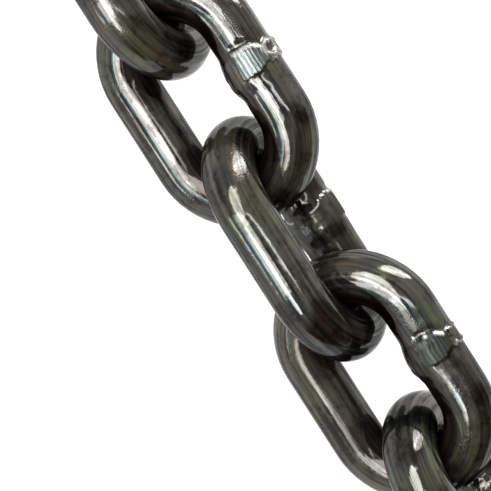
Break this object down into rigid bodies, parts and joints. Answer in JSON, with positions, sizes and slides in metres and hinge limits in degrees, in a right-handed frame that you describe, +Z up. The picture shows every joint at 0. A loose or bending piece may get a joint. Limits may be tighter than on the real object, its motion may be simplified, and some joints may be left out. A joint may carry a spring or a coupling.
{
  "type": "welded steel chain",
  "caption": "Straight length of heavy short-link steel chain with butt-welded links, bright varnished finish, for lifting, lashing or anchoring.",
  "frame": {"origin": "on the floor, under the middle of the chain's bounding box", "axes": "+X along the chain, +Z up; the links lean about 45 degrees to either side in turn"},
  "size_m": [1.034, 0.0421, 0.0427],
  "materials": {
    "varnished_steel": "dark drawn steel under glossy clear varnish"
  },
  "bodies": {
    "link_01": {"link_01": "varnished_steel"},
    "link_02": {"link_02": "varnished_steel"},
    "link_03": {"link_03": "varnished_steel"},
    "link_04": {"link_04": "varnished_steel"},
    "link_05": {"link_05": "varnished_steel"},
    "link_06": {"link_06": "varnished_steel"},
    "link_07": {"link_07": "varnished_steel"},
    "link_08": {"link_08": "varnished_steel"},
    "link_09": {"link_09": "varnished_steel"},
    "link_10": {"link_10": "varnished_steel"},
    "link_11": {"link_11": "varnished_steel"},
    "link_12": {"link_12": "varnished_steel"},
    "link_13": {"link_13": "varnished_steel"},
    "link_14": {"link_14": "varnished_steel"},
    "link_15": {"link_15": "varnished_steel"},
    "link_16": {"link_16": "varnished_steel"},
    "link_17": {"link_17": "varnished_steel"},
    "link_18": {"link_18": "varnished_steel"},
    "link_19": {"link_19": "varnished_steel"},
    "link_20": {"link_20": "varnished_steel"},
    "link_21": {"link_21": "varnished_steel"}
  },
  "joints": [
    {"name": "swing_12", "type": "hinge", "parent": "link_11", "child": "link_12", "pos_m": [0.032, 0, 0.02136], "axis": [0, -0.7071, 0.7071], "range_deg": [-110, 110]},
    {"name": "swing_13", "type": "hinge", "parent": "link_12", "child": "link_13", "pos_m": [0.0797, 0, 0.02136], "axis": [0, -0.7071, -0.7071], "range_deg": [-110, 110]},
    {"name": "swing_14", "type": "hinge", "parent": "link_13", "child": "link_14", "pos_m": [0.1274, 0, 0.02136], "axis": [0, 0.7071, -0.7071], "range_deg": [-110, 110]},
    {"name": "swing_15", "type": "hinge", "parent": "link_14", "child": "link_15", "pos_m": [0.1751, 0, 0.02136], "axis": [0, 0.7071, 0.7071], "range_deg": [-110, 110]},
    {"name": "swing_16", "type": "hinge", "parent": "link_15", "child": "link_16", "pos_m": [0.2228, 0, 0.02136], "axis": [0, -0.7071, 0.7071], "range_deg": [-110, 110]},
    {"name": "swing_17", "type": "hinge", "parent": "link_16", "child": "link_17", "pos_m": [0.2705, 0, 0.02136], "axis": [0, -0.7071, -0.7071], "range_deg": [-110, 110]},
    {"name": "swing_18", "type": "hinge", "parent": "link_17", "child": "link_18", "pos_m": [0.3182, 0, 0.02136], "axis": [0, 0.7071, -0.7071], "range_deg": [-110, 110]},
    {"name": "swing_19", "type": "hinge", "parent": "link_18", "child": "link_19", "pos_m": [0.3659, 0, 0.02136], "axis": [0, 0.7071, 0.7071], "range_deg": [-110, 110]},
    {"name": "swing_20", "type": "hinge", "parent": "link_19", "child": "link_20", "pos_m": [0.4136, 0, 0.02136], "axis": [0, -0.7071, 0.7071], "range_deg": [-110, 110]},
    {"name": "swing_21", "type": "hinge", "parent": "link_20", "child": "link_21", "pos_m": [0.4613, 0, 0.02136], "axis": [0, -0.7071, -0.7071], "range_deg": [-110, 110]},
    {"name": "swing_10", "type": "hinge", "parent": "link_11", "child": "link_10", "pos_m": [-0.032, 0, 0.02136], "axis": [0, -0.7071, 0.7071], "range_deg": [-110, 110]},
    {"name": "swing_09", "type": "hinge", "parent": "link_10", "child": "link_09", "pos_m": [-0.0797, 0, 0.02136], "axis": [0, -0.7071, -0.7071], "range_deg": [-110, 110]},
    {"name": "swing_08", "type": "hinge", "parent": "link_09", "child": "link_08", "pos_m": [-0.1274, 0, 0.02136], "axis": [0, 0.7071, -0.7071], "range_deg": [-110, 110]},
    {"name": "swing_07", "type": "hinge", "parent": "link_08", "child": "link_07", "pos_m": [-0.1751, 0, 0.02136], "axis": [0, 0.7071, 0.7071], "range_deg": [-110, 110]},
    {"name": "swing_06", "type": "hinge", "parent": "link_07", "child": "link_06", "pos_m": [-0.2228, 0, 0.02136], "axis": [0, -0.7071, 0.7071], "range_deg": [-110, 110]},
    {"name": "swing_05", "type": "hinge", "parent": "link_06", "child": "link_05", "pos_m": [-0.2705, 0, 0.02136], "axis": [0, -0.7071, -0.7071], "range_deg": [-110, 110]},
    {"name": "swing_04", "type": "hinge", "parent": "link_05", "child": "link_04", "pos_m": [-0.3182, 0, 0.02136], "axis": [0, 0.7071, -0.7071], "range_deg": [-110, 110]},
    {"name": "swing_03", "type": "hinge", "parent": "link_04", "child": "link_03", "pos_m": [-0.3659, 0, 0.02136], "axis": [0, 0.7071, 0.7071], "range_deg": [-110, 110]},
    {"name": "swing_02", "type": "hinge", "parent": "link_03", "child": "link_02", "pos_m": [-0.4136, 0, 0.02136], "axis": [0, -0.7071, 0.7071], "range_deg": [-110, 110]},
    {"name": "swing_01", "type": "hinge", "parent": "link_02", "child": "link_01", "pos_m": [-0.4613, 0, 0.02136], "axis": [0, -0.7071, -0.7071], "range_deg": [-110, 110]}
  ]
}
